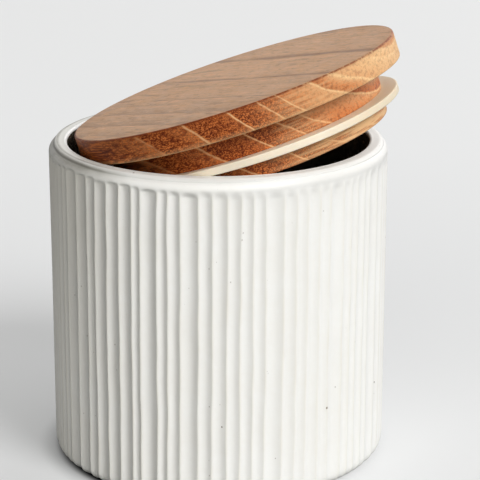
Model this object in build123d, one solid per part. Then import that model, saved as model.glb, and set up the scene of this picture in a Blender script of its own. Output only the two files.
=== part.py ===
"""Fluted stoneware salt canister with a loose turned wooden lid and a silicone seal ring.

The canister stands on the XY plane with its axis on Z.  The lid leans in the open mouth, the
way it is left while salt is taken: its low edge has dropped inside the lip, and its seal ring
props the high side up on the lip.
"""
import os
from math import cos, hypot, radians, sin, sqrt

from build123d import *

# ---- canister, mm ----
canister_height = 105.0
body_radius = 55.0          # over the ridges between the flutes
wall_thickness = 6.0        # from the ridges to the inside
floor_thickness = 7.0
floor_round = 6.0           # inside corner between wall and floor
foot_round = 4.0            # outside corner between wall and underside
shoulder_drop = 4.6         # from the rim down to where the wall has its full width
shoulder_inset = 1.8        # how far the lip stands in from the wall
lip_outer_round = 1.3       # ends below in a crease between lip and shoulder
lip_flat = 1.0              # level top of the lip; what is left of the wall is its inner round

# ---- flutes, cut side by side by hand, so that they are uneven ----
flute_depth = 0.8           # of a flute of mean width; a wider one is deeper
flute_top_drop = 3.3        # from the rim down to the tops of the flutes
flute_widths = (6.4, 5.8, 4.0, 5.1, 5.1, 4.9, 3.1, 5.9, 3.6, 4.2, 5.9, 4.5, 4.7,
                4.3, 4.1, 4.1, 6.0, 4.5, 4.0, 4.7, 4.2, 6.1, 3.8, 3.4, 4.2, 3.4)
flute_rounds = 3            # times that this run of relative widths goes round the wall
first_ridge_angle = -150.0  # degrees from +X

# ---- lid, turned from one piece: disc, plug, groove for the seal and flange ----
disc_inset = 1.2            # how far the disc's edge stands in from the ridges of the wall
disc_thickness = 8.1
disc_top_round = 0.8
disc_under_round = 0.5
plug_gap = 4.0              # between the plug and the inside of the wall
plug_height = 8.2           # from the disc's underside to the groove
groove_depth = 2.5
flange_step = 0.4           # the flange is this much smaller in radius than the plug
flange_height = 5.0
flange_round = 0.6

# ---- seal ring ----
seal_thickness = 2.4
seal_round = 0.35
seal_squeeze = 0.1          # how much larger in radius the ring is than the mouth it seals
seal_slack = 0.4            # gap under the ring, which lies against the groove's upper face
seal_bore_gap = 0.15        # between the ring's bore and the bottom of the groove

# ---- how the lid leans in the mouth ----
lid_tilt = 18.35            # degrees
low_side_angle = 170.4      # direction of the low edge, in degrees from +X
low_edge_gap = 2.6          # between the low edge and the inside of the wall, seen from above
resting_gap = 0.3           # kept between lid and lip

# ---- sizes that follow from those ----
mouth_radius = body_radius - wall_thickness
lip_radius = body_radius - shoulder_inset
lip_inner_round = lip_radius - lip_outer_round - lip_flat - mouth_radius
crease_height = canister_height - lip_outer_round
disc_radius = body_radius - disc_inset
plug_radius = mouth_radius - plug_gap
seal_radius = mouth_radius + seal_squeeze
groove_radius = plug_radius - groove_depth
flange_radius = plug_radius - flange_step
plug_end = disc_thickness + plug_height
seal_end = plug_end + seal_thickness
groove_end = seal_end + seal_slack
lid_height = groove_end + flange_height

QUARTER = 1 - cos(radians(45))   # bulge of a quarter round, as a share of its radius


def turned(start, *steps):
    """Turn an outline in the XZ plane about Z; a step is (radius, height, bulge to the right)."""
    edges = []
    r1, z1 = start
    for r2, z2, bulge in steps:
        if bulge:
            run = hypot(r2 - r1, z2 - z1)
            middle = ((r1 + r2) / 2 + bulge * (z2 - z1) / run, 0, (z1 + z2) / 2 - bulge * (r2 - r1) / run)
            edges.append(ThreePointArc((r1, 0, z1), middle, (r2, 0, z2)))
        else:
            edges.append(Line((r1, 0, z1), (r2, 0, z2)))
        r1, z1 = r2, z2
    edges.append(Line((r1, 0, z1), (start[0], 0, start[1])))
    return revolve(make_face(edges), Axis.Z)


def shoulder_bulge():
    """Bulge of the shoulder's arc, which leaves the wall upright and ends in the crease."""
    rise = shoulder_drop - lip_outer_round
    radius = (shoulder_inset**2 + rise**2) / (2 * shoulder_inset)
    half_chord = hypot(shoulder_inset, rise) / 2
    return radius - sqrt(radius**2 - half_chord**2)


def canister_blank():
    """The canister before its flutes are cut."""
    top = canister_height
    return turned(
        (0, 0),
        (body_radius - foot_round, 0, 0),
        (body_radius, foot_round, QUARTER * foot_round),
        (body_radius, top - shoulder_drop, 0),
        (lip_radius, crease_height, shoulder_bulge()),
        (lip_radius - lip_outer_round, top, QUARTER * lip_outer_round),
        (mouth_radius + lip_inner_round, top, 0),
        (mouth_radius, top - lip_inner_round, QUARTER * lip_inner_round),
        (mouth_radius, floor_thickness + floor_round, 0),
        (mouth_radius - floor_round, floor_thickness, -QUARTER * floor_round),
        (0, floor_thickness, 0),
    )


def fluted_envelope():
    """Concave flutes that meet in ridges at the full radius, and a plain band above them."""
    widths = flute_widths * flute_rounds
    total = sum(widths)
    mean = total / len(widths)
    ridges = []
    bottoms = []
    angle = first_ridge_angle
    for width in widths:
        turn = 360 * width / total
        depth = flute_depth * width / mean
        ridges.append(Vector(body_radius, 0).rotate(Axis.Z, angle))
        bottoms.append(Vector(body_radius - depth, 0).rotate(Axis.Z, angle + turn / 2))
        angle += turn
    next_ridges = ridges[1:] + ridges[:1]
    plan = make_face([ThreePointArc(*spots) for spots in zip(ridges, bottoms, next_ridges)])
    flute_top = canister_height - flute_top_drop
    band = Pos(0, 0, flute_top) * extrude(make_face(Circle(body_radius).edges()), flute_top_drop)
    return extrude(plan, flute_top) + band


def make_lid():
    """The wooden lid, with the centre of its top face on the origin and its axis on Z."""
    return turned(
        (0, -lid_height),
        (flange_radius - flange_round, -lid_height, 0),
        (flange_radius, flange_round - lid_height, QUARTER * flange_round),
        (flange_radius, -groove_end, 0),
        (groove_radius, -groove_end, 0),
        (groove_radius, -plug_end, 0),
        (plug_radius, -plug_end, 0),
        (plug_radius, -disc_thickness, 0),
        (disc_radius - disc_under_round, -disc_thickness, 0),
        (disc_radius, disc_under_round - disc_thickness, QUARTER * disc_under_round),
        (disc_radius, -disc_top_round, 0),
        (disc_radius - disc_top_round, 0, QUARTER * disc_top_round),
        (0, 0, 0),
    )


def make_seal():
    """The seal ring in its groove, in the lid's own frame."""
    bore = groove_radius + seal_bore_gap
    return turned(
        (bore, -seal_end),
        (seal_radius - seal_round, -seal_end, 0),
        (seal_radius, seal_round - seal_end, QUARTER * seal_round),
        (seal_radius, -plug_end - seal_round, 0),
        (seal_radius - seal_round, -plug_end, QUARTER * seal_round),
        (bore, -plug_end, 0),
    )


def lip_surface(radius):
    """Height that a point of the lid must keep at this distance from the canister's axis."""
    crest = mouth_radius + lip_inner_round
    if radius >= crest:
        return canister_height + resting_gap
    reach = lip_inner_round + resting_gap
    return canister_height - lip_inner_round + sqrt(reach**2 - (crest - radius) ** 2)


def lower_corner(radius, depth, round_over):
    """Radius and depth of the two ends and the middle of a rounded lower corner of the lid."""
    return [
        (radius, depth - round_over),
        (radius - QUARTER * round_over, depth - QUARTER * round_over),
        (radius - round_over, depth),
    ]


def leaning_place():
    """Where the lid leans: shifted to its high side, then lowered until an edge meets the lip."""
    tilt = radians(lid_tilt)
    shift = disc_radius * cos(tilt) - (mouth_radius - low_edge_gap)
    edges = [(disc_radius, 0), (disc_radius, disc_thickness)]
    edges += lower_corner(seal_radius, seal_end, seal_round)
    edges += lower_corner(flange_radius, lid_height, flange_round)
    height = canister_height
    for radius, depth in edges:
        for degree in range(181):
            along = radius * cos(radians(degree))
            across = radius * sin(radians(degree))
            x = shift + along * cos(tilt) + depth * sin(tilt)
            rise = along * sin(tilt) - depth * cos(tilt)
            distance = hypot(x, across)
            if distance > mouth_radius - resting_gap:
                height = max(height, lip_surface(distance) - rise)
    print(f"lid's top face: centre {shift:.2f} off the axis, at height {height:.2f}")
    return Rot(Z=low_side_angle - 180) * Pos(shift, 0, height) * Rot(Y=-lid_tilt)


canister = canister_blank() & fluted_envelope()
place = leaning_place()
pieces = {
    "canister": canister,
    "lid": place * make_lid(),
    "seal_ring": place * make_seal(),
}

os.makedirs("parts", exist_ok=True)
for name, piece in pieces.items():
    export_step(piece, f"parts/{name}.step")
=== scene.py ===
"""The finished look of a fluted stoneware salt canister with a loose wooden lid and a seal ring.

Every piece is built in mesh code in the place of its CAD node: the canister with its uneven,
glaze-rounded flutes, the turned lid and the silicone ring in the lid's groove.  The file is laid
out as an add-on with a sidebar panel, and runs as a script.  Lengths are in metres unless a
name says otherwise.
"""
from math import cos, hypot, pi, radians, sin

import bpy
import numpy as np
from bpy.props import FloatProperty, FloatVectorProperty, IntProperty, PointerProperty
from bpy.types import Operator, Panel, PropertyGroup
from mathutils import Matrix, Vector


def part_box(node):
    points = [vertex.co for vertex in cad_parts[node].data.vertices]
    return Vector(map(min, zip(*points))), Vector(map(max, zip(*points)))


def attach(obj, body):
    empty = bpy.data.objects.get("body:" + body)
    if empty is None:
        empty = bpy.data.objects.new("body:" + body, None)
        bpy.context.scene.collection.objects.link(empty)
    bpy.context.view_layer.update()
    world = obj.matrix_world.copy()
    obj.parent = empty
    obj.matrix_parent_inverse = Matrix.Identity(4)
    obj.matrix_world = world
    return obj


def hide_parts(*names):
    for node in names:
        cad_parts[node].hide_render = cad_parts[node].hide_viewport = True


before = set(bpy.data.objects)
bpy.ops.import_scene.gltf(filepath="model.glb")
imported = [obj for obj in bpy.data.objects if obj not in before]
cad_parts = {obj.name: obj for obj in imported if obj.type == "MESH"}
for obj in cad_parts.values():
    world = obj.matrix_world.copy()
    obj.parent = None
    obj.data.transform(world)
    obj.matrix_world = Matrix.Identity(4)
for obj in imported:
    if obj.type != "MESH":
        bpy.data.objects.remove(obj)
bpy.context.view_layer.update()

bl_info = {
    "name": "Salt Canister",
    "version": (1, 0, 0),
    "blender": (4, 5, 0),
    "location": "View3D > Sidebar > Salt Canister",
    "description": "Builds a fluted stoneware salt canister with a wooden lid and a seal ring",
    "category": "Add Mesh",
}

MM = 0.001
POLE_RADIUS = 0.2 * MM      # of the smallest ring of a closed mesh, which a pole closes
CANISTER_LOW, CANISTER_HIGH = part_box("canister")
CANISTER_HEIGHT = CANISTER_HIGH.z - CANISTER_LOW.z
BODY_RADIUS = CANISTER_HIGH.x

# Widths of neighbouring flutes, relative to each other; the run goes round the wall three times.
FLUTE_WIDTHS = (6.4, 5.8, 4.0, 5.1, 5.1, 4.9, 3.1, 5.9, 3.6, 4.2, 5.9, 4.5, 4.7,
                4.3, 4.1, 4.1, 6.0, 4.5, 4.0, 4.7, 4.2, 6.1, 3.8, 3.4, 4.2, 3.4)
FLUTE_ROUNDS = 3
FIRST_RIDGE = -150.0        # degrees from +X
# Where the mesh has columns within one flute, closer together at its two ridges.
COLUMNS_IN_FLUTE = (0.0, 0.04, 0.09, 0.17, 0.28, 0.42, 0.58, 0.72, 0.83, 0.91, 0.96)

# Growth lines of the timber: radius from the heart of the tree in mm, then how light the wood
# is just inside the line and just outside the next one, where 0 is darkest brown and 1 is
# palest, then how strongly the line shows as a streak on the top face.
GROWTH_LINES = (
    (103.5, 0.25, 0.50, 0.1),
    (96.8, 0.12, 0.48, 0.1),
    (88.8, 0.05, 0.40, 0.5),
    (79.8, 0.05, 0.42, 0.2),
    (72.8, 0.20, 0.50, 0.2),
    (67.4, 0.50, 0.78, 0.6),
    (57.7, 0.45, 0.85, 0.1),
    (53.4, 0.80, 0.90, 0.9),
    (47.0, 0.85, 0.92, 0.1),
    (44.6, 0.75, 0.95, 1.0),
)
GRAIN_MARGIN = 4.0          # mm that the grain goes on past the innermost and outermost lines
OUTER_LINES_FROM = 90.0     # mm from the heart, from which the lines themselves are fainter
OUTER_LINES = 0.72          # how light those are, where the others are palest
HEART_ACROSS = 0.0369       # from the lid's axis to the heart of the tree, across the fibre
HEART_UP = 0.0421           # and up from the lid's top face
FIBRE_ANGLE = -47.0         # degrees, from the lid's uphill direction to the fibre


class SALT_PG_canister(PropertyGroup):
    """Sizes and colours of the canister"""

    foot_round: FloatProperty(
        name="Foot Round", description="Radius between the wall and the underside",
        default=0.004, min=0.001, unit="LENGTH")
    floor_thickness: FloatProperty(
        name="Floor Thickness", description="Thickness of the canister's floor",
        default=0.007, min=0.002, unit="LENGTH")
    wall_thickness: FloatProperty(
        name="Wall Thickness", description="From the ridges of the flutes to the inside",
        default=0.006, min=0.003, unit="LENGTH")
    flute_depth: FloatProperty(
        name="Flute Depth", description="Depth of a flute of mean width",
        default=0.0008, min=0.0, unit="LENGTH")
    ridge_round: FloatProperty(
        name="Ridge Round", description="How widely the glaze rounds the ridges",
        default=0.0003, min=0.0, unit="LENGTH")
    ridge_wander: FloatProperty(
        name="Ridge Wander", description="How far a hand-cut ridge strays to either side",
        default=0.00022, min=0.0, unit="LENGTH")
    glaze: FloatVectorProperty(
        name="Glaze", description="Colour of the glaze outside", subtype="COLOR",
        default=(0.85, 0.843, 0.81), min=0.0, max=1.0)
    inner_glaze: FloatVectorProperty(
        name="Inner Glaze", description="Colour of the glaze inside", subtype="COLOR",
        default=(0.120, 0.100, 0.075), min=0.0, max=1.0)
    clay: FloatVectorProperty(
        name="Bare Clay", description="Colour of the unglazed underside", subtype="COLOR",
        default=(0.42, 0.33, 0.24), min=0.0, max=1.0)
    speck: FloatVectorProperty(
        name="Specks", description="Colour of the iron specks in the glaze", subtype="COLOR",
        default=(0.16, 0.10, 0.06), min=0.0, max=1.0)
    seed: IntProperty(
        name="Seed", description="Changes how the hand-cut flutes stray", default=11, min=0)


class SALT_PG_lid(PropertyGroup):
    """Sizes and colours of the wooden lid and its seal ring"""

    disc_radius: FloatProperty(
        name="Disc Radius", description="Radius of the lid's disc",
        default=0.05378, min=0.01, unit="LENGTH")
    disc_thickness: FloatProperty(
        name="Disc Thickness", description="Thickness of the lid's disc",
        default=0.0081, min=0.002, unit="LENGTH")
    plug_radius: FloatProperty(
        name="Plug Radius", description="Radius of the part that goes into the mouth",
        default=0.045, min=0.01, unit="LENGTH")
    plug_height: FloatProperty(
        name="Plug Height", description="From the disc's underside to the groove",
        default=0.0082, min=0.001, unit="LENGTH")
    groove_depth: FloatProperty(
        name="Groove Depth", description="How deep the ring's groove is cut",
        default=0.0025, min=0.0005, unit="LENGTH")
    flange_height: FloatProperty(
        name="Flange Height", description="Height of the flange under the ring",
        default=0.005, min=0.001, unit="LENGTH")
    seal_radius: FloatProperty(
        name="Seal Radius", description="Outer radius of the seal ring",
        default=0.0491, min=0.01, unit="LENGTH")
    seal_thickness: FloatProperty(
        name="Seal Thickness", description="Thickness of the seal ring",
        default=0.0024, min=0.0005, unit="LENGTH")
    heart_wood: FloatVectorProperty(
        name="Dark Wood", description="Darkest brown of the end grain", subtype="COLOR",
        default=(0.125, 0.018, 0.0030), min=0.0, max=1.0)
    warm_wood: FloatVectorProperty(
        name="Warm Wood", description="Orange brown of the end grain", subtype="COLOR",
        default=(0.46, 0.112, 0.018), min=0.0, max=1.0)
    pale_wood: FloatVectorProperty(
        name="Pale Wood", description="Colour of the pale growth lines", subtype="COLOR",
        default=(0.84, 0.57, 0.29), min=0.0, max=1.0)
    long_grain: FloatVectorProperty(
        name="Long Grain", description="Colour of the top face", subtype="COLOR",
        default=(0.635, 0.355, 0.182), min=0.0, max=1.0)
    silicone: FloatVectorProperty(
        name="Silicone", description="Colour of the seal ring", subtype="COLOR",
        default=(0.89, 0.79, 0.63), min=0.0, max=1.0)


class SALT_PG_stage(PropertyGroup):
    """Light and camera"""

    camera_distance: FloatProperty(
        name="Camera Distance", description="From the camera to the point it looks at",
        default=0.66, min=0.1, unit="LENGTH")
    camera_pitch: FloatProperty(
        name="Camera Pitch", description="How far the camera looks down",
        default=radians(16.87), subtype="ANGLE")
    focal_length: FloatProperty(
        name="Focal Length", description="Focal length of the camera's lens in millimetres",
        default=150.1, min=10.0)
    key_azimuth: FloatProperty(
        name="Key Light Azimuth", description="Direction of the main light, from +X",
        default=radians(-47.0), subtype="ANGLE")
    key_elevation: FloatProperty(
        name="Key Light Elevation", description="Height of the main light",
        default=radians(39.0), subtype="ANGLE")
    key_width: FloatProperty(
        name="Key Light Width", description="How wide the main light looks from the object",
        default=radians(26.0), subtype="ANGLE")
    key_strength: FloatProperty(
        name="Key Light Strength", description="Strength of the main light in watts per square metre",
        default=2.2, min=0.0)
    front_fill: FloatProperty(
        name="Front Fill", description="Strength of the broad soft light from the front",
        default=1.75, min=0.0)
    side_fill: FloatProperty(
        name="Side Fill", description="Strength of the broad soft light from the right",
        default=1.55, min=0.0)
    back_fill: FloatProperty(
        name="Back Fill", description="Strength of the broad soft light from behind",
        default=0.55, min=0.0)
    background: FloatVectorProperty(
        name="Background", description="Colour behind the canister", subtype="COLOR",
        default=(0.825, 0.83, 0.83), min=0.0, max=1.0)


# ---- outlines and meshes ----

def arc(centre, radius, start, end, steps):
    """Points of an arc between two angles in degrees, both ends included."""
    angles = np.radians(np.linspace(start, end, steps + 1))
    return [(centre[0] + radius * cos(a), centre[1] + radius * sin(a)) for a in angles]


def straight(start, end, steps):
    """Points of a straight stretch, both ends included."""
    return [tuple(point) for point in np.linspace(start, end, steps + 1)]


def joined(*stretches):
    """One outline from its stretches, without the points that two stretches share."""
    outline = []
    for stretch in stretches:
        for point in stretch:
            if not outline or hypot(point[0] - outline[-1][0], point[1] - outline[-1][1]) > 1e-7:
                outline.append(point)
    return np.array(outline)


def length_along(outline):
    """How far each point of an outline is from its start, measured along it."""
    steps = np.hypot(*np.diff(outline, axis=0).T)
    return np.concatenate([[0.0], np.cumsum(steps)])


def falloff(distance, reach):
    """1 where the distance is 0, falling smoothly away over the reach."""
    return np.exp(-(distance / reach) ** 2)


def degrees_from(angles, side):
    """How far angles round the axis are from a side, both ways; only the angles are in radians."""
    return np.degrees(np.abs((angles - radians(side) + pi) % (2 * pi) - pi))


def near_side(angles, side, reach, fade):
    """1 near a side given in degrees, and 0 from its reach on, over which it fades."""
    return np.clip((reach - degrees_from(angles, side)) / fade, 0, 1)


def outward(outline):
    """Unit normals of an outline in its plane, to the right of its direction of travel."""
    run = np.gradient(outline, axis=0)
    normals = np.stack([run[:, 1], -run[:, 0]], axis=1)
    return normals / np.linalg.norm(normals, axis=1, keepdims=True)


def ring_mesh(name, radius, angle, height, close_poles):
    """A smooth mesh from rows of points round Z, each row a ring; the poles close its two ends."""
    points = np.stack(np.broadcast_arrays(radius * np.cos(angle), radius * np.sin(angle), height), axis=-1)
    rows, columns = points.shape[:2]
    number = np.arange(rows * columns).reshape(rows, columns)
    beside = np.roll(number, -1, axis=1)
    quads = np.stack([number, beside, np.roll(beside, -1, axis=0), np.roll(number, -1, axis=0)], axis=-1)
    vertices = points.reshape(-1, 3)
    if close_poles:
        quads = quads[:-1]
        low_pole = len(vertices)
        vertices = np.concatenate([vertices, [points[0].mean(axis=0), points[-1].mean(axis=0)]])
    faces = quads.reshape(-1, 4).tolist()
    if close_poles:
        faces += [(low_pole, b, a) for a, b in zip(number[0].tolist(), beside[0].tolist())]
        faces += [(low_pole + 1, a, b) for a, b in zip(number[-1].tolist(), beside[-1].tolist())]
    mesh = bpy.data.meshes.new(name)
    mesh.from_pydata(vertices.tolist(), [], faces)
    mesh.shade_smooth()
    mesh.update()
    return mesh


def store(mesh, name, values):
    """Keep a number or a vector for each vertex, for the materials to read."""
    values = np.asarray(values, float)
    kind = "FLOAT" if values.ndim == 1 else "FLOAT_VECTOR"
    attribute = mesh.attributes.new(name, kind, "POINT")
    key = "value" if kind == "FLOAT" else "vector"
    attribute.data.foreach_set(key, values.astype(np.float32).ravel())


def with_poles(rows):
    """Values of a closed mesh's vertices: its rows, then its first and its last pole."""
    return np.concatenate([rows.ravel(), [rows[0].mean(), rows[-1].mean()]])


def add_object(name, data):
    """A new object in the scene."""
    made = bpy.data.objects.new(name, data)
    bpy.context.scene.collection.objects.link(made)
    return made


def put_in_place(name, mesh, material, body, node):
    """Make the piece's object, in the place of its CAD node and moving with its body."""
    mesh.materials.append(material)
    piece = add_object(name, mesh)
    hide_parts(node)
    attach(piece, body)


def slow_waves(random, count, places, longest, waves=4):
    """Smooth random curves between about -1 and 1, one for each of count, read at the places."""
    curves = np.zeros((count, len(places)))
    for wave in range(waves):
        length = longest / (wave + 1) ** 1.15
        phase = random.uniform(0, 2 * pi, (count, 1))
        strength = random.uniform(0.4, 1.0, (count, 1)) / (wave + 1) ** 0.7
        curves += strength * np.sin(2 * pi * places[None, :] / length + phase)
    return curves / 1.6


# ---- canister ----

SHOULDER_DROP = 0.0036
SHOULDER_INSET = 0.0016     # how far the lip stands in from the wall
LIP_OUTER_ROUND = 0.0013    # ends below in a crease between lip and shoulder
LIP_INNER_ROUND = 0.0010    # tighter than the CAD model's, so that the ring flexes there
FLOOR_ROUND = 0.006
FLUTE_TOP_DROP = 0.0033     # from the rim down to the tops of the flutes
FLUTE_TOP_UNEVEN = 0.0004
FINE_WALL = 0.003           # of the wall under the shoulder, where the flutes end in closer rows
FLUTE_TOP_ARCH = 0.0008     # how much higher a flute's top is in the middle than at its ridges
FLUTE_RUN_OUT = (0.0009, 0.0040)    # over which a flute's top fades, on the shaded side and opposite
DEPTH_UNEVEN = 0.12         # share by which a flute's depth strays on its way down
SHADED_SIDE = 183.0           # degrees from +X, the side away from the lamps, where the lip, its crease and the upper wall get painted shade
SHADED_SIDE_DEEPER = 0.26     # share by which the flutes are deeper there, and shallower opposite
BAND_SHADE_SIDE = -38.0           # degrees from +X, where the band under the lip gets the most painted shade
BAND_LIGHT_SIDE = -115.0          # and where it gets painted light
RIDGE_LEAN = 0.9            # degrees that a ridge drifts round the wall from its top to the foot
WALL_UNEVEN = 0.0001
CREASE_FILL = 0.0003        # how thickly glaze fills the crease, away from the shaded side
GLAZE_EDGE_DROP = 0.00095   # from the rim down to where the outer glaze ends on the lip
GLAZE_FOOT_LINE = 0.0002    # how high the glaze was wiped off the foot


def canister_outline(canister):
    """Outline from the middle of the underside, up the wall, over the lip and down to the floor."""
    top = CANISTER_HEIGHT
    wall = BODY_RADIUS
    foot = canister.foot_round
    mouth = wall - canister.wall_thickness
    lip = wall - SHOULDER_INSET
    shoulder = top - SHOULDER_DROP
    rise = SHOULDER_DROP - LIP_OUTER_ROUND
    bend = (SHOULDER_INSET**2 + rise**2) / (2 * SHOULDER_INSET)
    bend_angle = np.degrees(np.arcsin(rise / bend))
    floor = canister.floor_thickness
    return joined(
        [(POLE_RADIUS, 0.0), (wall / 2, 0.0), (wall - 1.6 * foot, 0.0)],
        arc((wall - foot, foot), foot, -90, 0, 10),
        straight((wall, foot), (wall, shoulder - FINE_WALL), 28),
        straight((wall, shoulder - FINE_WALL), (wall, shoulder), 11),
        arc((wall - bend, shoulder), bend, 0, bend_angle, 8),
        arc((lip - LIP_OUTER_ROUND, top - LIP_OUTER_ROUND), LIP_OUTER_ROUND, 0, 90, 10),
        straight((lip - LIP_OUTER_ROUND, top), (mouth + LIP_INNER_ROUND, top), 3),
        arc((mouth + LIP_INNER_ROUND, top - LIP_INNER_ROUND), LIP_INNER_ROUND, 90, 180, 10),
        straight((mouth, top - LIP_INNER_ROUND), (mouth, floor + FLOOR_ROUND), 7),
        arc((mouth - FLOOR_ROUND, floor + FLOOR_ROUND), FLOOR_ROUND, 0, -90, 6),
        [(mouth / 2, floor), (POLE_RADIUS, floor)],
    )


def cut_flutes(canister, heights, outside):
    """For each row of the outline and each column: its angle, how deep it is cut, how ridged it is."""
    random = np.random.default_rng(canister.seed)
    widths = np.array(FLUTE_WIDTHS * FLUTE_ROUNDS)
    shares = widths / widths.sum()
    count = len(widths)
    starts = radians(FIRST_RIDGE) + 2 * pi * np.concatenate([[0.0], np.cumsum(shares)[:-1]])

    # Each ridge strays sideways on its way down, and each flute is cut a little deeper or shallower.
    stray = slow_waves(random, count, heights, 0.085) * canister.ridge_wander / BODY_RADIUS
    stray += radians(RIDGE_LEAN) * (heights / CANISTER_HEIGHT - 0.5)
    ridge_angle = starts[:, None] + stray * outside
    next_angle = np.roll(ridge_angle, -1, axis=0)
    next_angle[-1] += 2 * pi
    depth = 1 + DEPTH_UNEVEN * slow_waves(random, count, heights, 0.06)

    fraction = np.array(COLUMNS_IN_FLUTE)
    angle = ridge_angle[:, None] * (1 - fraction)[:, None] + next_angle[:, None] * fraction[:, None]
    width = (2 * pi * shares * BODY_RADIUS)[:, None]
    from_ridge = width * np.minimum(fraction, 1 - fraction)
    rounded = np.sqrt(from_ridge**2 + canister.ridge_round**2) - canister.ridge_round
    bowl = 4 * (rounded / width) * (1 - rounded / width)

    # A flute ends in a rounded top below the shoulder, and fades over the foot.
    arch = FLUTE_TOP_ARCH * (1 - np.sqrt(np.clip(1 - (2 * fraction - 1) ** 2, 0, 1)))
    tops = CANISTER_HEIGHT - FLUTE_TOP_DROP + FLUTE_TOP_UNEVEN * random.uniform(-1, 1, (count, 1)) - arch
    shaded_run_out, full_run_out = FLUTE_RUN_OUT
    run_out = full_run_out + (shaded_run_out - full_run_out) * near_side(starts, SHADED_SIDE, 95, 35)
    fade = np.clip((tops[:, :, None] - heights) / run_out[:, None, None], 0, 1)
    fade = fade * fade * (3 - 2 * fade)
    foot_fade = np.clip(heights / (0.8 * canister.foot_round), 0, 1)
    fade = fade * (0.15 + 0.85 * foot_fade) * (outside & (heights > 1e-6))

    deeper = 1 + SHADED_SIDE_DEEPER * np.cos(starts - radians(SHADED_SIDE))
    flute = canister.flute_depth * (deeper * widths / widths.mean())[:, None, None]
    cut = flute * bowl[:, :, None] * depth[:, None] * fade
    ridge = falloff(from_ridge[:, :, None], 0.45 * MM) * fade
    return [values.reshape(-1, len(heights)).T for values in (angle, cut, ridge)]


def mark_glaze(mesh, outline, outside, angles, ridge):
    """Keep on the mesh where the glaze is thin on the ridges, where shade and light are painted, and how
    far off it ends.
    """
    out, up = outline.T
    top, lip = CANISTER_HEIGHT, BODY_RADIUS - SHOULDER_INSET
    # Painted shade on the lip's outer edge, its crease and the shoulder below, on the side away from the
    # lamps.
    spots = ((lip - LIP_OUTER_ROUND + 0.1 * MM, top, 0.28 * MM, 1.1),
             (lip - 0.1 * MM, top - 0.9 * LIP_OUTER_ROUND, 0.85 * MM, 1.6),
             (lip + 0.9 * MM, top - 2.1 * MM, 0.9 * MM, 0.75))
    painted_crease_shade = sum(strength * falloff(np.hypot(out - spot_out, up - spot_up), reach)
                     for spot_out, spot_up, reach, strength in spots)
    shaded_side = near_side(angles, SHADED_SIDE, 57, 26)
    # Painted shade on the plain band under the lip, a little all round and most on the side facing the key
    # lamp, and painted light on its front left.
    band = np.clip((up - top + 4.5 * MM) / (1.5 * MM), 0, 1) * (1 - outward(outline)[:, 1] ** 4)
    below_lip = np.clip((top - LIP_OUTER_ROUND - up) / (0.6 * MM), 0, 1)
    painted_band_shade = np.outer(band, 0.2 + 0.8 * near_side(angles, BAND_SHADE_SIDE, 78, 35))
    painted_band_light = np.outer(band * below_lip, near_side(angles, BAND_LIGHT_SIDE, 58, 25))
    # Painted shade on the upper wall, on the side away from the lamps.
    upper_wall = np.clip((up - 0.03) / 0.07, 0, 1) * outside

    along = length_along(outline)
    rim = outside.sum() - 1
    glaze_end = np.interp(top - GLAZE_EDGE_DROP, up[rim:][::-1], along[rim:][::-1])
    foot_line = np.interp(GLAZE_FOOT_LINE, up[:rim], along[:rim])
    all_round = np.ones(len(angles))
    for name, rows in (
        ("ridge", ridge),
        ("painted_crease_shade", np.outer(painted_crease_shade, shaded_side)),
        ("band", painted_band_shade - painted_band_light),
        ("painted_wall_shade", np.outer(upper_wall, shaded_side)),
        ("to_inside", np.outer(along - glaze_end, all_round)),
        ("to_foot", np.outer(foot_line - along, all_round)),
    ):
        store(mesh, name, with_poles(rows))


def make_canister(canister):
    """The canister's mesh, with what its material has to know about each vertex."""
    outline = canister_outline(canister)
    out, up = outline.T
    rim = np.flatnonzero(up > CANISTER_HEIGHT - 1e-7)[-1]
    outside = np.arange(len(outline)) <= rim
    angle, cut, ridge = cut_flutes(canister, up, outside)
    # The whole wall is a little uneven, and away from the shaded side glaze fills the crease.
    swell = 0.5 + 0.25 * (np.sin(3 * angle + 40 * up[:, None] + 1.0)
                          + np.sin(5 * angle - 70 * up[:, None] + 2.2))
    cut += WALL_UNEVEN * swell * (outside & (up > 0.5 * MM))[:, None]
    from_crease = np.hypot(out - BODY_RADIUS + SHOULDER_INSET, up - CANISTER_HEIGHT + LIP_OUTER_ROUND)
    crease = falloff(from_crease, 0.7 * MM)
    cut -= CREASE_FILL * crease[:, None] * (1 - near_side(angle, SHADED_SIDE, 78, 35))

    normals = outward(outline)
    radius = out[:, None] - cut * normals[:, :1]
    height = up[:, None] - cut * normals[:, 1:]
    mesh = ring_mesh("canister_mesh", radius, angle, height, True)
    mark_glaze(mesh, outline, outside, angle[0], ridge)
    return mesh


# ---- lid and seal ring ----

DISC_TOP_ROUND = 0.0008
DISC_UNDER_ROUND = 0.0005
FLANGE_STEP = 0.0004
FLANGE_ROUND = 0.0006
GROOVE_SLACK = 0.0004
SEAL_ROUND = 0.00035
SEAL_BORE_GAP = 0.00015
SEAL_SLACK = 0.00112        # how far the ring stands out at most, on the uphill side
SEAL_LIFT = 0.00035         # how far the lip pushes up the ring's free edge
LIP_BEARS_AT = 96.0         # degrees from uphill, on both sides, where the lip bears on the ring
EDGE = 0.00015              # the least rounding of a turned corner
LID_ANGLES = np.linspace(0, 2 * pi, 384, endpoint=False)
SHEEN_SIDE = -55.0            # degrees from uphill, where a painted highlight lies on the sides


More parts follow.
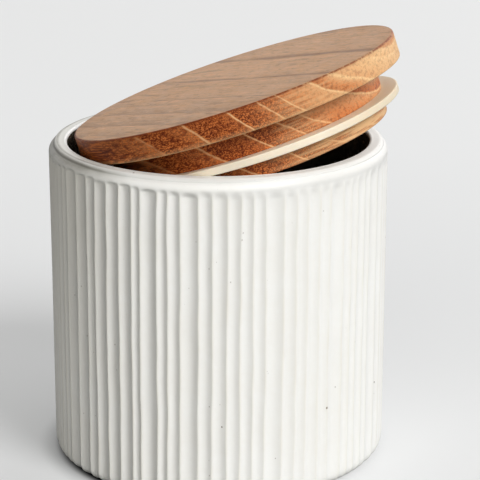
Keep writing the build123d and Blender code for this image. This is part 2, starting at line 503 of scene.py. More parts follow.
def lid_place():
    """Where the lid leans, read from the CAD node: Z along its axis and X uphill."""
    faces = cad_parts["lid"].data.polygons
    upward = [face for face in faces if face.normal.z > 0.5]
    # The top face is level in the lid's frame and lies above every other such face.
    groups = {}
    for face in upward:
        groups.setdefault(tuple(round(value, 2) for value in face.normal), []).append(face)
    level = max(groups.values(), key=lambda group: sum(face.area for face in group))
    normal = sum((face.area * face.normal for face in level), Vector()).normalized()
    top = max(normal.dot(face.center) for face in level)
    top_face = [face for face in level if top - normal.dot(face.center) < 0.5 * MM]
    area = sum(face.area for face in top_face)
    uphill = (Vector((0, 0, 1)) - normal.z * normal).normalized()
    place = Matrix((uphill, normal.cross(uphill), normal)).transposed().to_4x4()
    place.translation = sum((face.area * face.center for face in top_face), Vector()) / area
    return place


def lid_outline(lid):
    """Outline from the middle of the underside out and up to the middle of the top face."""
    disc, plug = lid.disc_radius, lid.plug_radius
    under = -lid.disc_thickness
    plug_end = under - lid.plug_height
    groove_end = plug_end - lid.seal_thickness - GROOVE_SLACK
    end = groove_end - lid.flange_height
    groove = plug - lid.groove_depth
    flange = plug - FLANGE_STEP
    soft = FLANGE_ROUND
    return joined(
        straight((POLE_RADIUS, end), (flange - soft, end), 6),
        arc((flange - soft, end + soft), soft, -90, 0, 6),
        straight((flange, end + soft), (flange, groove_end - EDGE), 4),
        arc((flange - EDGE, groove_end - EDGE), EDGE, 0, 90, 3),
        straight((flange - EDGE, groove_end), (groove, groove_end), 2),
        straight((groove, groove_end), (groove, plug_end), 2),
        straight((groove, plug_end), (plug - EDGE, plug_end), 2),
        arc((plug - EDGE, plug_end + EDGE), EDGE, -90, 0, 3),
        straight((plug, plug_end + EDGE), (plug, under - EDGE), 5),
        arc((plug + EDGE, under - EDGE), EDGE, 180, 90, 3),
        straight((plug + EDGE, under), (disc - DISC_UNDER_ROUND, under), 4),
        arc((disc - DISC_UNDER_ROUND, under + DISC_UNDER_ROUND), DISC_UNDER_ROUND, -90, 0, 5),
        straight((disc, under + DISC_UNDER_ROUND), (disc, -DISC_TOP_ROUND), 5),
        arc((disc - DISC_TOP_ROUND, -DISC_TOP_ROUND), DISC_TOP_ROUND, 0, 90, 8),
        straight((disc - DISC_TOP_ROUND, 0.0), (POLE_RADIUS, 0.0), 6),
    )


def seal_outline(lid):
    """Outline of the ring's section, once round."""
    top = -lid.disc_thickness - lid.plug_height - 0.02 * MM
    low = top - lid.seal_thickness
    bore = lid.plug_radius - lid.groove_depth + SEAL_BORE_GAP
    rim, soft = lid.seal_radius, SEAL_ROUND
    return joined(
        straight((bore, low), (rim - soft, low), 5),
        arc((rim - soft, low + soft), soft, -90, 0, 5),
        straight((rim, low + soft), (rim, top - soft), 3),
        arc((rim - soft, top - soft), soft, 0, 90, 5),
        straight((rim - soft, top), (bore, top), 5),
        straight((bore, top), (bore, low), 2)[:-1],
    )


def turned_mesh(name, radius, height, close_poles):
    """A mesh in the lid's own frame, which keeps each vertex's place there, and those places."""
    mesh = ring_mesh(name, radius, LID_ANGLES, height, close_poles)
    mesh.set_sharp_from_angle(angle=radians(50))
    own = np.array([vertex.co for vertex in mesh.vertices])
    store(mesh, "own_place", own)
    return mesh, own


def make_lid(lid):
    """The lid's mesh, with what its material has to know about each vertex."""
    outline = lid_outline(lid)
    mesh, own = turned_mesh("lid_mesh", outline[:, :1], outline[:, 1:], True)
    out, up = np.hypot(own[:, 0], own[:, 1]), own[:, 2]

    # The disc's upper edge is burnt and the wood beside it is worn; along the lower edge a pale line is a
    # painted highlight.
    from_rim = out - lid.disc_radius
    from_arris = np.hypot(from_rim + 0.3 * DISC_TOP_ROUND, up + 0.3 * DISC_TOP_ROUND)
    store(mesh, "arris", falloff(from_arris, 0.45 * MM))
    beside = falloff(from_rim + 2.0 * MM, 0.9 * MM) * (up > -0.1 * MM)
    from_lower_edge = np.hypot(from_rim + 0.1 * MM, up + lid.disc_thickness - 0.1 * MM)
    store(mesh, "wear_and_edge_highlight", 0.4 * beside + falloff(from_lower_edge, 0.4 * MM))

    # The fibre ends on faces that look sideways, most of all where they look along it.
    along_fibre = np.abs(np.cos(LID_ANGLES - radians(FIBRE_ANGLE)))
    facing = np.outer(np.abs(outward(outline)[:, 0]), 0.3 + 0.7 * along_fibre)
    store(mesh, "fibre_ends", with_poles(facing))

    # Painted highlight: paler on one side, and on the flange's uphill half where the lamps light it.
    turn = np.degrees(np.arctan2(own[:, 1], own[:, 0]))
    flange = np.clip((-18.5 * MM - up) / (0.5 * MM), 0, 1)
    uphill = np.clip((turn + 78) / 42, 0, 1) * (np.abs(turn) < 90)
    store(mesh, "dry", np.maximum(0.6 * falloff(turn - SHEEN_SIDE, 13), 1.35 * flange * uphill))
    mesh.transform(lid_place())
    return mesh


def make_seal(lid):
    """The seal ring's mesh in its groove: slack uphill, and pushed up where the lip bears on it."""
    outline = seal_outline(lid)
    out, up = outline[:, :1], outline[:, 1:]
    free = np.clip((out - lid.plug_radius) / (lid.seal_radius - lid.plug_radius), 0, 1)
    uneven = 0.06 * MM * (np.sin(2 * LID_ANGLES + 0.7) + np.sin(5 * LID_ANGLES + 2.0))
    pushed = falloff(degrees_from(LID_ANGLES, 0) - LIP_BEARS_AT, 14)
    lift = free * uneven + SEAL_LIFT * free**1.5 * pushed
    slack = SEAL_SLACK * free * np.clip(np.cos(LID_ANGLES), 0, 1) ** 2
    mesh, own = turned_mesh("seal_ring_mesh", out + slack, up + lift - 0.12 * slack, False)
    # Painted shade: the ring's uphill end is made darker.
    store(mesh, "uphill", np.clip((own[:, 0] - 0.030) / 0.016, 0, 1))
    mesh.transform(lid_place())
    return mesh


# ---- short ways to build node trees ----

def feed(tree, socket, value):
    """Set an input socket to a value, or join another node's output to it."""
    if isinstance(value, bpy.types.NodeSocket):
        tree.links.new(value, socket)
    elif hasattr(value, "__len__") and len(value) == 3 and socket.type == "RGBA":
        socket.default_value = (*value, 1.0)
    else:
        socket.default_value = value


def add_node(tree, kind, inputs=None, **settings):
    """Add a node with its settings, and feed the inputs named in the dictionary."""
    made = tree.nodes.new(kind)
    made.location = (180 * (len(tree.nodes) % 12), -260 * (len(tree.nodes) // 12))
    for name, value in settings.items():
        setattr(made, name, value)
    for name, value in (inputs or {}).items():
        feed(tree, made.inputs[name], value)
    return made


def maths(tree, operation, *values, clamp=False):
    """Output of a Math node."""
    made = add_node(tree, "ShaderNodeMath", dict(enumerate(values)), operation=operation, use_clamp=clamp)
    return made.outputs[0]


def times(tree, first, second):
    """Two numbers multiplied."""
    return maths(tree, "MULTIPLY", first, second)


def vectors(tree, operation, *values, output="Vector"):
    """Output of a Vector Math node."""
    made = add_node(tree, "ShaderNodeVectorMath", dict(enumerate(values)), operation=operation)
    return made.outputs[output]


def vector_of(tree, x, y, z):
    """A vector from its three parts."""
    return add_node(tree, "ShaderNodeCombineXYZ", {"X": x, "Y": y, "Z": z}).outputs["Vector"]


def parts_of(tree, vector):
    """The three parts of a vector."""
    return add_node(tree, "ShaderNodeSeparateXYZ", {"Vector": vector}).outputs


def spread(tree, value, low, high, to_low=0.0, to_high=1.0, smooth=True):
    """A value brought from one range to another and held inside it."""
    made = add_node(
        tree, "ShaderNodeMapRange",
        {"Value": value, "From Min": low, "From Max": high, "To Min": to_low, "To Max": to_high},
        interpolation_type="SMOOTHSTEP" if smooth else "LINEAR",
    )
    return made.outputs["Result"]


def mixed(tree, share, first, second, kind="MIX"):
    """Two colours mixed."""
    made = add_node(tree, "ShaderNodeMix", {0: share, 6: first, 7: second},
                    data_type="RGBA", blend_type=kind)
    return made.outputs[2]


def tinted(tree, colour, tint):
    """A colour multiplied by another one, or by a number."""
    return mixed(tree, 1.0, colour, tint, "MULTIPLY")


def ramp(tree, value, stops):
    """A Color Ramp; a stop is its place and a number or a colour."""
    made = add_node(tree, "ShaderNodeValToRGB", {"Fac": value})
    elements = made.color_ramp.elements
    elements.remove(elements[-1])
    for number, (place, colour) in enumerate(stops):
        element = elements.new(place) if number else elements[0]
        element.position = place
        element.color = (*colour, 1.0) if hasattr(colour, "__len__") else (colour, colour, colour, 1.0)
    return made.outputs["Color"]


def kept(tree, name, output="Fac"):
    """What the mesh keeps for each vertex under this name."""
    return add_node(tree, "ShaderNodeAttribute", attribute_name=name).outputs[output]


def noise(tree, place, scale, detail=2.0, roughness=0.5, distortion=0.0):
    """A noise value between 0 and 1; scale is in features for each metre."""
    made = add_node(
        tree, "ShaderNodeTexNoise",
        {"Vector": place, "Scale": scale, "Detail": detail,
         "Roughness": roughness, "Distortion": distortion},
    )
    return made.outputs["Fac"]


def scaled(colour, *shares):
    """A colour times one share, or times a share for each of its channels."""
    shares = shares if len(shares) == 3 else shares * 3
    return tuple(min(1.0, value * share) for value, share in zip(colour, shares))


def blend(first, share, second, second_share):
    """The sum of two colours, each times its share."""
    return tuple(share * a + second_share * b for a, b in zip(first, second))


def new_material(name, **values):
    """A material with a Principled shader whose uniform values are set on its own sockets."""
    material = bpy.data.materials.new(name)
    material.use_nodes = True
    tree = material.node_tree
    tree.nodes.clear()
    uniform = {socket.replace("_", " "): value for socket, value in values.items()}
    shader = add_node(tree, "ShaderNodeBsdfPrincipled", uniform)
    output = add_node(tree, "ShaderNodeOutputMaterial", {"Surface": shader.outputs["BSDF"]})
    output.is_active_output = True
    return material, tree, shader


def finish_material(tree, shader, colour, roughness, height, strength, distance):
    """Feed what varies over the surface to the shader, the relief as a bump of this distance."""
    bump = add_node(tree, "ShaderNodeBump", {"Height": height, "Strength": strength, "Distance": distance})
    feed(tree, shader.inputs["Base Color"], colour)
    feed(tree, shader.inputs["Roughness"], roughness)
    feed(tree, shader.inputs["Normal"], bump.outputs["Normal"])


# ---- effects that several materials share ----

def shared_effect(tree, name, inputs, output, build):
    """Place an effect's node group in a tree; build fills the group when it is first needed."""
    group = bpy.data.node_groups.get(name)
    if group is None:
        group = bpy.data.node_groups.new(name, "ShaderNodeTree")
        for label, value in inputs.items():
            kind = "NodeSocketFloat" if isinstance(value, float) else "NodeSocketVector"
            socket = group.interface.new_socket(label, in_out="INPUT", socket_type=kind)
            if isinstance(value, float):
                socket.default_value = value
        group.interface.new_socket(output, in_out="OUTPUT", socket_type="NodeSocketFloat")
        given = add_node(group, "NodeGroupInput").outputs
        leave = add_node(group, "NodeGroupOutput")
        feed(group, leave.inputs[output], build(group, given))
    return add_node(tree, "ShaderNodeGroup", inputs, node_tree=group).outputs[output]


def mottle(tree, place, size, fine_share):
    """Cloudy unevenness at two scales, for tone and for gloss."""
    def build(group, given):
        scale = maths(group, "DIVIDE", 1.0, given["Size"])
        broad = noise(group, given["Place"], scale, 3.0, 0.55)
        fine = noise(group, given["Place"], times(group, scale, 9.0), 2.0, 0.6)
        both = {0: given["Fine Share"], 2: broad, 3: fine}
        made = add_node(group, "ShaderNodeMix", both, data_type="FLOAT")
        return spread(group, made.outputs[0], 0.3, 0.7)

    inputs = {"Place": place, "Size": size, "Fine Share": fine_share}
    return shared_effect(tree, "Mottle", inputs, "Cloud", build)


def specks(tree, place, spacing, radius, share):
    """Round specks scattered one to a cell, in a chosen share of the cells."""
    def build(group, given):
        scale = maths(group, "DIVIDE", 1.0, given["Spacing"])
        cells = add_node(group, "ShaderNodeTexVoronoi", {"Vector": given["Place"], "Scale": scale}).outputs
        chance = add_node(group, "ShaderNodeSeparateColor", {"Color": cells["Color"]}).outputs
        uneven = spread(group, chance["Green"], 0.0, 1.0, 0.4, 1.3, smooth=False)
        distance = times(group, cells["Distance"], given["Spacing"])
        in_radii = maths(group, "DIVIDE", distance, times(group, given["Radius"], uneven))
        chosen = maths(group, "LESS_THAN", chance["Red"], given["Share"])
        return times(group, spread(group, in_radii, 0.75, 1.15, 1.0, 0.0), chosen)

    inputs = {"Place": place, "Spacing": spacing, "Radius": radius, "Share": share}
    return shared_effect(tree, "Specks", inputs, "Speck", build)


def fine_relief(tree, place, size):
    """Fine unevenness of a surface, as a height for a Bump node."""
    def build(group, given):
        scale = maths(group, "DIVIDE", 1.0, given["Size"])
        ripple = noise(group, given["Place"], scale)
        swell = noise(group, given["Place"], times(group, scale, 0.18), 1.0)
        return maths(group, "MULTIPLY_ADD", swell, 2.2, ripple)

    return shared_effect(tree, "Fine Relief", {"Place": place, "Size": size}, "Height", build)


# ---- materials ----

def stoneware_material(canister):
    """Matte white glaze outside, dark glaze inside, and bare clay underneath."""
    material, tree, shader = new_material("glazed_stoneware", IOR=1.5)
    place = add_node(tree, "ShaderNodeTexCoord").outputs["Object"]
    cloud = mottle(tree, place, size=0.018, fine_share=0.35)

    # The glaze is thin and warmer on the ridges, and cloudy in between.
    warm = scaled(canister.glaze, 0.93, 0.89, 0.80)
    white = mixed(tree, cloud, tuple(canister.glaze), scaled(canister.glaze, 1.02, 1.03, 1.045))
    patchy = spread(tree, noise(tree, place, 90.0, 3.0), 0.3, 0.7, 0.35, 1.0)
    white = mixed(tree, times(tree, times(tree, kept(tree, "ridge"), patchy), 0.4), white, warm)
    # Painted shade on the plain band under the lip, most on the side facing the key lamp, and painted
    # light on its front left.
    white = tinted(tree, white, maths(tree, "MULTIPLY_ADD", kept(tree, "band"), -0.17, 1.0))
    # Painted shade on the upper wall, on the side away from the lamps.
    white = mixed(tree, times(tree, kept(tree, "painted_wall_shade"), 0.45), white, scaled(warm, 0.72))
    # Painted shade, patchy, on the lip's outer edge and crease on the side away from the lamps.
    patchy = spread(tree, noise(tree, place, 150.0, 3.0), 0.3, 0.7, 0.7, 1.0)
    white = mixed(tree, times(tree, kept(tree, "painted_crease_shade"), patchy), white, scaled(warm, 0.36))

    # Iron specks: a few large ones, and more that are as small as a pinhole.
    large = specks(tree, place, spacing=0.0085, radius=0.00034, share=0.42)
    small = specks(tree, place, spacing=0.0036, radius=0.00020, share=0.42)
    iron = maths(tree, "MAXIMUM", large, times(tree, small, 0.55))
    white = mixed(tree, times(tree, iron, 0.8), white, tuple(canister.speck))

    # The two glazes meet on the lip, and the glaze was wiped off the foot.
    waver = maths(tree, "MULTIPLY_ADD", noise(tree, place, 220.0, 3.0), 0.0007, -0.00035)
    inside = spread(tree, maths(tree, "ADD", kept(tree, "to_inside"), waver), -0.00008, 0.00012)
    beneath = spread(tree, maths(tree, "ADD", kept(tree, "to_foot"), waver), -0.0001, 0.0003)
    dark = mixed(tree, cloud, scaled(canister.inner_glaze, 0.8), tuple(canister.inner_glaze))
    uneven = noise(tree, place, 700.0, 4.0, 0.7)
    clay = mixed(tree, uneven, scaled(canister.clay, 0.75), scaled(canister.clay, 1.15))
    colour = mixed(tree, beneath, mixed(tree, inside, white, dark), clay)

    roughness = spread(tree, cloud, 0.0, 1.0, 0.40, 0.50, smooth=False)
    roughness = maths(tree, "MULTIPLY_ADD", inside, -0.18, roughness)
    roughness = maths(tree, "MULTIPLY_ADD", beneath, 0.45, roughness, clamp=True)
    pits = maths(tree, "MULTIPLY_ADD", iron, -1.2, fine_relief(tree, place, size=0.0011))
    grit = times(tree, noise(tree, place, 2600.0, 3.0, 0.7), times(tree, beneath, 2.5))
    height = maths(tree, "ADD", pits, grit)
    finish_material(tree, shader, colour, roughness, height, strength=0.35, distance=0.00012)
    return material


def growth_stops():
    """How light the end grain is over the growth lines, as pairs of a radius in mm and a value."""
    lines = sorted(GROWTH_LINES)
    stops = []
    # The wood is darkest just inside a line, palest on it and lighter again just outside.
    for (radius, dark, _, _), following in zip(lines, lines[1:] + lines[-1:]):
        peak = 1.0 if radius < OUTER_LINES_FROM else OUTER_LINES
        stops += [(radius - 0.55, dark), (radius, peak), (radius + 0.40, following[2])]
    return stops


def streak_stops():
    """How strongly the growth lines show on the top face, as pairs of a radius in mm and a value."""
    return [(radius + step, share * strength) for radius, _, _, strength in sorted(GROWTH_LINES)
            for step, share in ((-1.0, 0.0), (-0.15, 1.0), (0.5, 0.0))]


def over_growth_lines(tree, ring, stops):
    """A value that follows the stops over the distance from the heart of the tree."""
    low, high = GROWTH_LINES[-1][0] - GRAIN_MARGIN, GROWTH_LINES[0][0] + GRAIN_MARGIN
    place = spread(tree, ring, low * MM, high * MM, smooth=False)
    colour = ramp(tree, place, [((radius - low) / (high - low), value) for radius, value in stops])
    return add_node(tree, "ShaderNodeSeparateColor", {"Color": colour}).outputs["Red"]


def end_grain_colour(tree, lid, own, growth, drawn_out, pores):
    """Dark between the growth lines and pale on them, with dots where the fibre ends."""
    dark, warm, pale = lid.heart_wood, lid.warm_wood, lid.pale_wood
    colour = ramp(tree, growth, [
        (0.0, tuple(dark)),
        (0.3, blend(dark, 0.72, warm, 0.28)),
        (0.62, blend(warm, 0.78, pale, 0.22)),
        (0.78, blend(warm, 0.45, pale, 0.55)),
        (0.94, tuple(pale)),
    ])
    dots = times(tree, pores, spread(tree, growth, 0.5, 0.9, 0.95, 0.2))
    colour = mixed(tree, dots, colour, blend(warm, 1.3, pale, 0.08))
    strands = spread(tree, noise(tree, drawn_out, 900.0, 3.0, 0.65), 0.54, 0.36)
    depth = times(tree, strands, spread(tree, growth, 0.4, 0.8, 0.85, 0.4))
    colour = mixed(tree, depth, colour, tinted(tree, colour, (0.42, 0.27, 0.22)))
    # Painted highlight, streaked round the lid like the marks of turning.
    sheen_streaks = noise(tree, vectors(tree, "MULTIPLY", own, (0.06, 0.06, 1.0)), 1300.0)
    sheen_streaks = spread(tree, sheen_streaks, 0.35, 0.65, 0.25, 0.95)
    return mixed(tree, times(tree, kept(tree, "dry"), sheen_streaks), colour, blend(warm, 0.25, pale, 0.75))


def long_grain_colour(tree, lid, ring, growth, less_drawn_out):
    """The top face, streaked along the fibre."""
    top = lid.long_grain
    colour = ramp(tree, growth, [(place, scaled(top, share)) for place, share in
                                 ((0.0, 0.60), (0.3, 0.88), (0.8, 1.0), (1.0, 1.08))])
    grain = noise(tree, less_drawn_out, 420.0, 4.0, 0.75, 0.6)
    colour = mixed(tree, times(tree, spread(tree, grain, 0.48, 0.34), 0.5), colour, scaled(top, 0.42))
    colour = mixed(tree, times(tree, spread(tree, grain, 0.52, 0.66), 0.5), colour, scaled(top, 1.3))
    short = vectors(tree, "MULTIPLY", less_drawn_out, (1.0, 1.0, 2.4))
    flecks = spread(tree, noise(tree, short, 620.0, 2.0, 0.6), 0.56, 0.68)
    colour = mixed(tree, times(tree, flecks, 0.45), colour, scaled(top, 0.45))
    # The growth lines show as dark, broken streaks.
    broken = spread(tree, noise(tree, less_drawn_out, 130.0, 3.0), 0.34, 0.52)
    streaks = times(tree, over_growth_lines(tree, ring, streak_stops()), broken)
    return mixed(tree, times(tree, streaks, 0.8), colour, scaled(top, 0.26, 0.18, 0.14))


def timber_material(lid):
    """Oiled timber with growth lines, fibre streaks and open pores, all running through the piece."""
    material, tree, shader = new_material("oiled_timber", IOR=1.47, Specular_IOR_Level=0.15)

    # The lid's own frame turned to the timber: across the fibre, up and along the fibre.
    own = kept(tree, "own_place", "Vector")
    fibre = (cos(radians(FIBRE_ANGLE)), sin(radians(FIBRE_ANGLE)), 0.0)
    across = vectors(tree, "DOT_PRODUCT", own, (-fibre[1], fibre[0], 0.0), output="Value")
    up = parts_of(tree, own)["Z"]
    along = vectors(tree, "DOT_PRODUCT", own, fibre, output="Value")
    drawn_out = vector_of(tree, across, up, times(tree, along, 0.045))
    less_drawn_out = vector_of(tree, across, up, times(tree, along, 0.16))

    # Distance from the heart of the tree decides the growth line.
    from_heart = vector_of(tree, maths(tree, "SUBTRACT", across, HEART_ACROSS),
                           maths(tree, "SUBTRACT", up, HEART_UP), 0.0)
    ring = vectors(tree, "LENGTH", from_heart, output="Value")
    # The inner rings are not quite round: they stand off on the side away from the heart.
    beside = maths(tree, "MINIMUM", maths(tree, "SUBTRACT", across, 0.014), 0.0)
    bend = times(tree, beside, spread(tree, ring, 0.060, 0.072, 0.13, 0.0))
    wander = maths(tree, "MULTIPLY_ADD", noise(tree, less_drawn_out, 75.0, 3.0, 0.6), 0.0018, -0.0009)
    jitter = maths(tree, "MULTIPLY_ADD", noise(tree, less_drawn_out, 420.0, 1.0), 0.0004, -0.0002)
    for stray in (bend, wander, jitter):
        ring = maths(tree, "ADD", ring, stray)
    growth = over_growth_lines(tree, ring, growth_stops())

    # The fibre ends on the rim, where the timber drinks more oil and turns dark.
    pores = spread(tree, noise(tree, drawn_out, 2500.0, 2.0, 0.8), 0.47, 0.57)
    colour = mixed(tree, spread(tree, kept(tree, "fibre_ends"), 0.02, 0.3),
                   long_grain_colour(tree, lid, ring, growth, less_drawn_out),
                   end_grain_colour(tree, lid, own, growth, drawn_out, pores))
    # Worn pale beside the upper edge, a painted highlight along the lower one, and burnt dark on the upper
    # edge.
    colour = mixed(tree, times(tree, kept(tree, "wear_and_edge_highlight"), 0.5), colour, tuple(lid.pale_wood))
    patchy = spread(tree, noise(tree, less_drawn_out, 480.0, 4.0, 0.8), 0.40, 0.56, 0.45, 1.0)
    colour = mixed(tree, times(tree, kept(tree, "arris"), patchy), colour,
                   blend(lid.heart_wood, 0.8, lid.warm_wood, 0.15))

    cloud = mottle(tree, own, size=0.02, fine_share=0.5)
    roughness = spread(tree, cloud, 0.0, 1.0, 0.38, 0.48, smooth=False)
    roughness = maths(tree, "MULTIPLY_ADD", pores, 0.12, roughness)
    height = maths(tree, "MULTIPLY_ADD", pores, -0.8, fine_relief(tree, drawn_out, size=0.0006))
    finish_material(tree, shader, colour, roughness, height, strength=0.5, distance=0.00008)
    return material


def silicone_material(lid):
    """Cream silicone, a little translucent, with a satin skin that holds some dust."""
    material, tree, shader = new_material("cream_silicone", IOR=1.43, Subsurface_Weight=0.25,
                                          Subsurface_Scale=0.0015, Subsurface_Radius=(1.0, 0.7, 0.45))
    place = kept(tree, "own_place", "Vector")
    cloud = mottle(tree, place, size=0.012, fine_share=0.3)
    colour = mixed(tree, cloud, scaled(lid.silicone, 0.95), tuple(lid.silicone))
    # Painted shade, darker and greyer towards the ring's uphill end.
    colour = mixed(tree, kept(tree, "uphill"), colour, tinted(tree, colour, (0.80, 0.77, 0.70)))
    dust = specks(tree, place, spacing=0.0022, radius=0.00007, share=0.12)
    colour = mixed(tree, times(tree, dust, 0.35), colour, (0.55, 0.50, 0.42))
    roughness = spread(tree, cloud, 0.0, 1.0, 0.42, 0.55, smooth=False)
    height = fine_relief(tree, place, size=0.0008)
    finish_material(tree, shader, colour, roughness, height, strength=0.25, distance=0.00005)
    return material


# ---- stage ----

FLOOR_RADIUS = 6.0
KEY_COLOUR = (0.99, 0.99, 1.0)
FRONT_COLOUR = (1.0, 0.985, 0.925)
AIM = Vector((0.00705, 0.0, 0.06983))     # the point that the camera looks at
FLOOR_ALBEDO = 0.35         # how much light the floor throws back onto the object
FLOOR_SHOWN = 0.50          # how pale the camera sees the same floor
FLOOR_GLOW = 0.270          # light that the camera sees on top of that, at the front left
FILL_WIDTH = radians(85.0)  # how wide the soft lights look from the object


def floor_material(stage):
    """A pale seamless floor that keeps the object's shadow and throws little light back."""
    material, tree, shader = new_material("pale_floor", Roughness=0.9, Specular_IOR_Level=0.0)
    place = add_node(tree, "ShaderNodeTexCoord").outputs["Object"]
    seen = add_node(tree, "ShaderNodeLightPath").outputs["Is Camera Ray"]
    tint = tuple(c / max(stage.background) for c in stage.background)
    uneven = spread(tree, noise(tree, place, 1.5, 2.0), 0.0, 1.0, 0.985, 1.0)
    albedo = times(tree, spread(tree, seen, 0.0, 1.0, FLOOR_ALBEDO, FLOOR_SHOWN), uneven)
    away = parts_of(tree, place)
    glow = maths(tree, "ADD", spread(tree, away["X"], -0.3, 0.4, FLOOR_GLOW, FLOOR_GLOW + 0.045),
                 spread(tree, away["Y"], -0.1, 0.4, 0.0, 0.08, smooth=False))
    # Painted shadow: the floor darkens close to the foot, on the side away from the lamps.
    from_axis = vectors(tree, "LENGTH", place, output="Value")
    close = maths(tree, "ADD", spread(tree, from_axis, 0.052, 0.056, 0.62, 0.0),
                  spread(tree, from_axis, 0.052, 0.062, 0.38, 0.0))
    close = times(tree, close, spread(tree, away["X"], -0.025, 0.01, 1.0, 0.0))
    lit = maths(tree, "SUBTRACT", 1.0, close)
    feed(tree, shader.inputs["Base Color"], tinted(tree, tint, times(tree, albedo, lit)))
    feed(tree, shader.inputs["Emission Color"], tint)
    feed(tree, shader.inputs["Emission Strength"], times(tree, seen, times(tree, glow, lit)))
    return material


def make_floor(stage):
    """A large round floor."""
    angles = np.linspace(0, 2 * pi, 96, endpoint=False)
    rim = [(FLOOR_RADIUS * cos(angle), FLOOR_RADIUS * sin(angle), 0.0) for angle in angles]
    mesh = bpy.data.meshes.new("floor_mesh")
    mesh.from_pydata(rim, [], [tuple(range(len(rim)))])
    mesh.materials.append(floor_material(stage))
    floor = add_object("floor", mesh)
    floor.location.z = -0.05 * MM


def make_camera(stage):
    """The camera in front, looking a little down."""
    data = bpy.data.cameras.new("camera")
    data.lens = stage.focal_length
    data.sensor_width = 36.0
    data.clip_start = 0.01
    camera = add_object("camera", data)
    pitch = stage.camera_pitch
    camera.location = AIM + stage.camera_distance * Vector((0, -cos(pitch), sin(pitch)))
    camera.rotation_euler = (pi / 2 - pitch, 0, 0)
    bpy.context.scene.camera = camera


def direction(azimuth, elevation):
    """Unit vector towards an azimuth from +X and an elevation."""
    return Vector((cos(azimuth) * cos(elevation), sin(azimuth) * cos(elevation), sin(elevation)))


def make_distant_lamp(name, away, strength, width, colour):
    """A distant soft light that comes from a direction."""
    data = bpy.data.lights.new(name, "SUN")
    data.energy = strength
    data.angle = width
    data.color = colour
    lamp = add_object(name, data)
    lamp.location = AIM + away
    lamp.rotation_euler = away.to_track_quat("Z", "Y").to_euler()


def make_world(stage):
    """A pale background; gloss shows it pale behind and dim in front, and it lights nothing else."""
    world = bpy.data.worlds.new("studio")
    world.use_nodes = True
    tree = world.node_tree
    tree.nodes.clear()
    towards = parts_of(tree, add_node(tree, "ShaderNodeTexCoord").outputs["Generated"])
    path = add_node(tree, "ShaderNodeLightPath").outputs
    reflected = maths(tree, "ADD", path["Is Glossy Ray"], path["Is Transmission Ray"], clamp=True)
    gloss = times(tree, spread(tree, towards["Y"], -0.6, 0.5, 0.06, 0.9), reflected)
    shown = maths(tree, "MAXIMUM", gloss, path["Is Camera Ray"])
    pale = add_node(tree, "ShaderNodeBackground", {"Color": tuple(stage.background), "Strength": shown})
    add_node(tree, "ShaderNodeOutputWorld", {"Surface": pale.outputs["Background"]})
    bpy.context.scene.world = world


# ---- operators, panel and registration ----

class SALT_OT_add_canister(Operator):
    """Build the fluted stoneware canister"""

    bl_idname = "salt_canister.add_canister"
    bl_label = "Add Canister"

    def execute(self, context):
        canister = context.scene.salt_canister
        put_in_place("stoneware_canister", make_canister(canister), stoneware_material(canister),
                     "canister", "canister")
        return {"FINISHED"}


class SALT_OT_add_lid(Operator):
    """Build the turned wooden lid"""

    bl_idname = "salt_canister.add_lid"
    bl_label = "Add Lid"

    def execute(self, context):
        lid = context.scene.salt_lid
        put_in_place("wooden_lid", make_lid(lid), timber_material(lid), "lid", "lid")
        return {"FINISHED"}


class SALT_OT_add_seal_ring(Operator):
    """Build the silicone seal ring"""

    bl_idname = "salt_canister.add_seal_ring"
    bl_label = "Add Seal Ring"

    def execute(self, context):
        lid = context.scene.salt_lid
        put_in_place("silicone_seal_ring", make_seal(lid), silicone_material(lid),
                     "lid", "seal_ring")
        return {"FINISHED"}


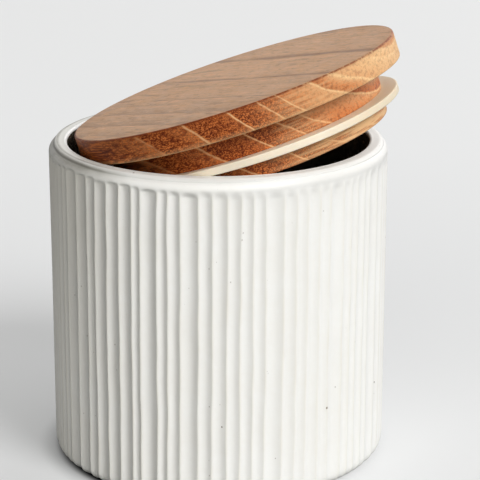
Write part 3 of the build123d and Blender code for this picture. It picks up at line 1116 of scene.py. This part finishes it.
class SALT_OT_add_stage(Operator):
    """Add the floor, the lights, the background and the camera"""

    bl_idname = "salt_canister.add_stage"
    bl_label = "Add Stage"

    def execute(self, context):
        stage = context.scene.salt_stage
        make_floor(stage)
        make_camera(stage)
        make_world(stage)
        make_distant_lamp("key_light", direction(stage.key_azimuth, stage.key_elevation),
                          stage.key_strength, stage.key_width, KEY_COLOUR)
        for name, azimuth, elevation, strength, colour in (
            ("front_fill", -88, 15, stage.front_fill, FRONT_COLOUR),
            ("side_fill", 32, 28, stage.side_fill, KEY_COLOUR),
            ("back_fill", 108, 10, stage.back_fill, KEY_COLOUR),
        ):
            make_distant_lamp(name, direction(radians(azimuth), radians(elevation)),
                              strength, FILL_WIDTH, colour)
        context.scene.view_settings.view_transform = "Standard"
        return {"FINISHED"}


class SALT_PT_sidebar(Panel):
    """Sizes, colours and the buttons that build the pieces"""

    bl_idname = "SALT_PT_sidebar"
    bl_label = "Salt Canister"
    bl_space_type = "VIEW_3D"
    bl_region_type = "UI"
    bl_category = "Salt Canister"

    def draw(self, context):
        scene = context.scene
        for title, group, operators in (
            ("Canister", scene.salt_canister, (SALT_OT_add_canister,)),
            ("Lid and ring", scene.salt_lid, (SALT_OT_add_lid, SALT_OT_add_seal_ring)),
            ("Stage", scene.salt_stage, (SALT_OT_add_stage,)),
        ):
            box = self.layout.box()
            box.label(text=title)
            for name in group.__annotations__:
                box.prop(group, name)
            for operator in operators:
                box.operator(operator.bl_idname)


CLASSES = (
    SALT_PG_canister,
    SALT_PG_lid,
    SALT_PG_stage,
    SALT_OT_add_canister,
    SALT_OT_add_lid,
    SALT_OT_add_seal_ring,
    SALT_OT_add_stage,
    SALT_PT_sidebar,
)


def register():
    for one_class in CLASSES:
        bpy.utils.register_class(one_class)
    bpy.types.Scene.salt_canister = PointerProperty(type=SALT_PG_canister)
    bpy.types.Scene.salt_lid = PointerProperty(type=SALT_PG_lid)
    bpy.types.Scene.salt_stage = PointerProperty(type=SALT_PG_stage)


def unregister():
    del bpy.types.Scene.salt_stage
    del bpy.types.Scene.salt_lid
    del bpy.types.Scene.salt_canister
    for one_class in reversed(CLASSES):
        bpy.utils.unregister_class(one_class)


def main():
    """Build everything."""
    register()
    bpy.ops.salt_canister.add_canister()
    bpy.ops.salt_canister.add_lid()
    bpy.ops.salt_canister.add_seal_ring()
    bpy.ops.salt_canister.add_stage()


if __name__ == "__main__":
    main()
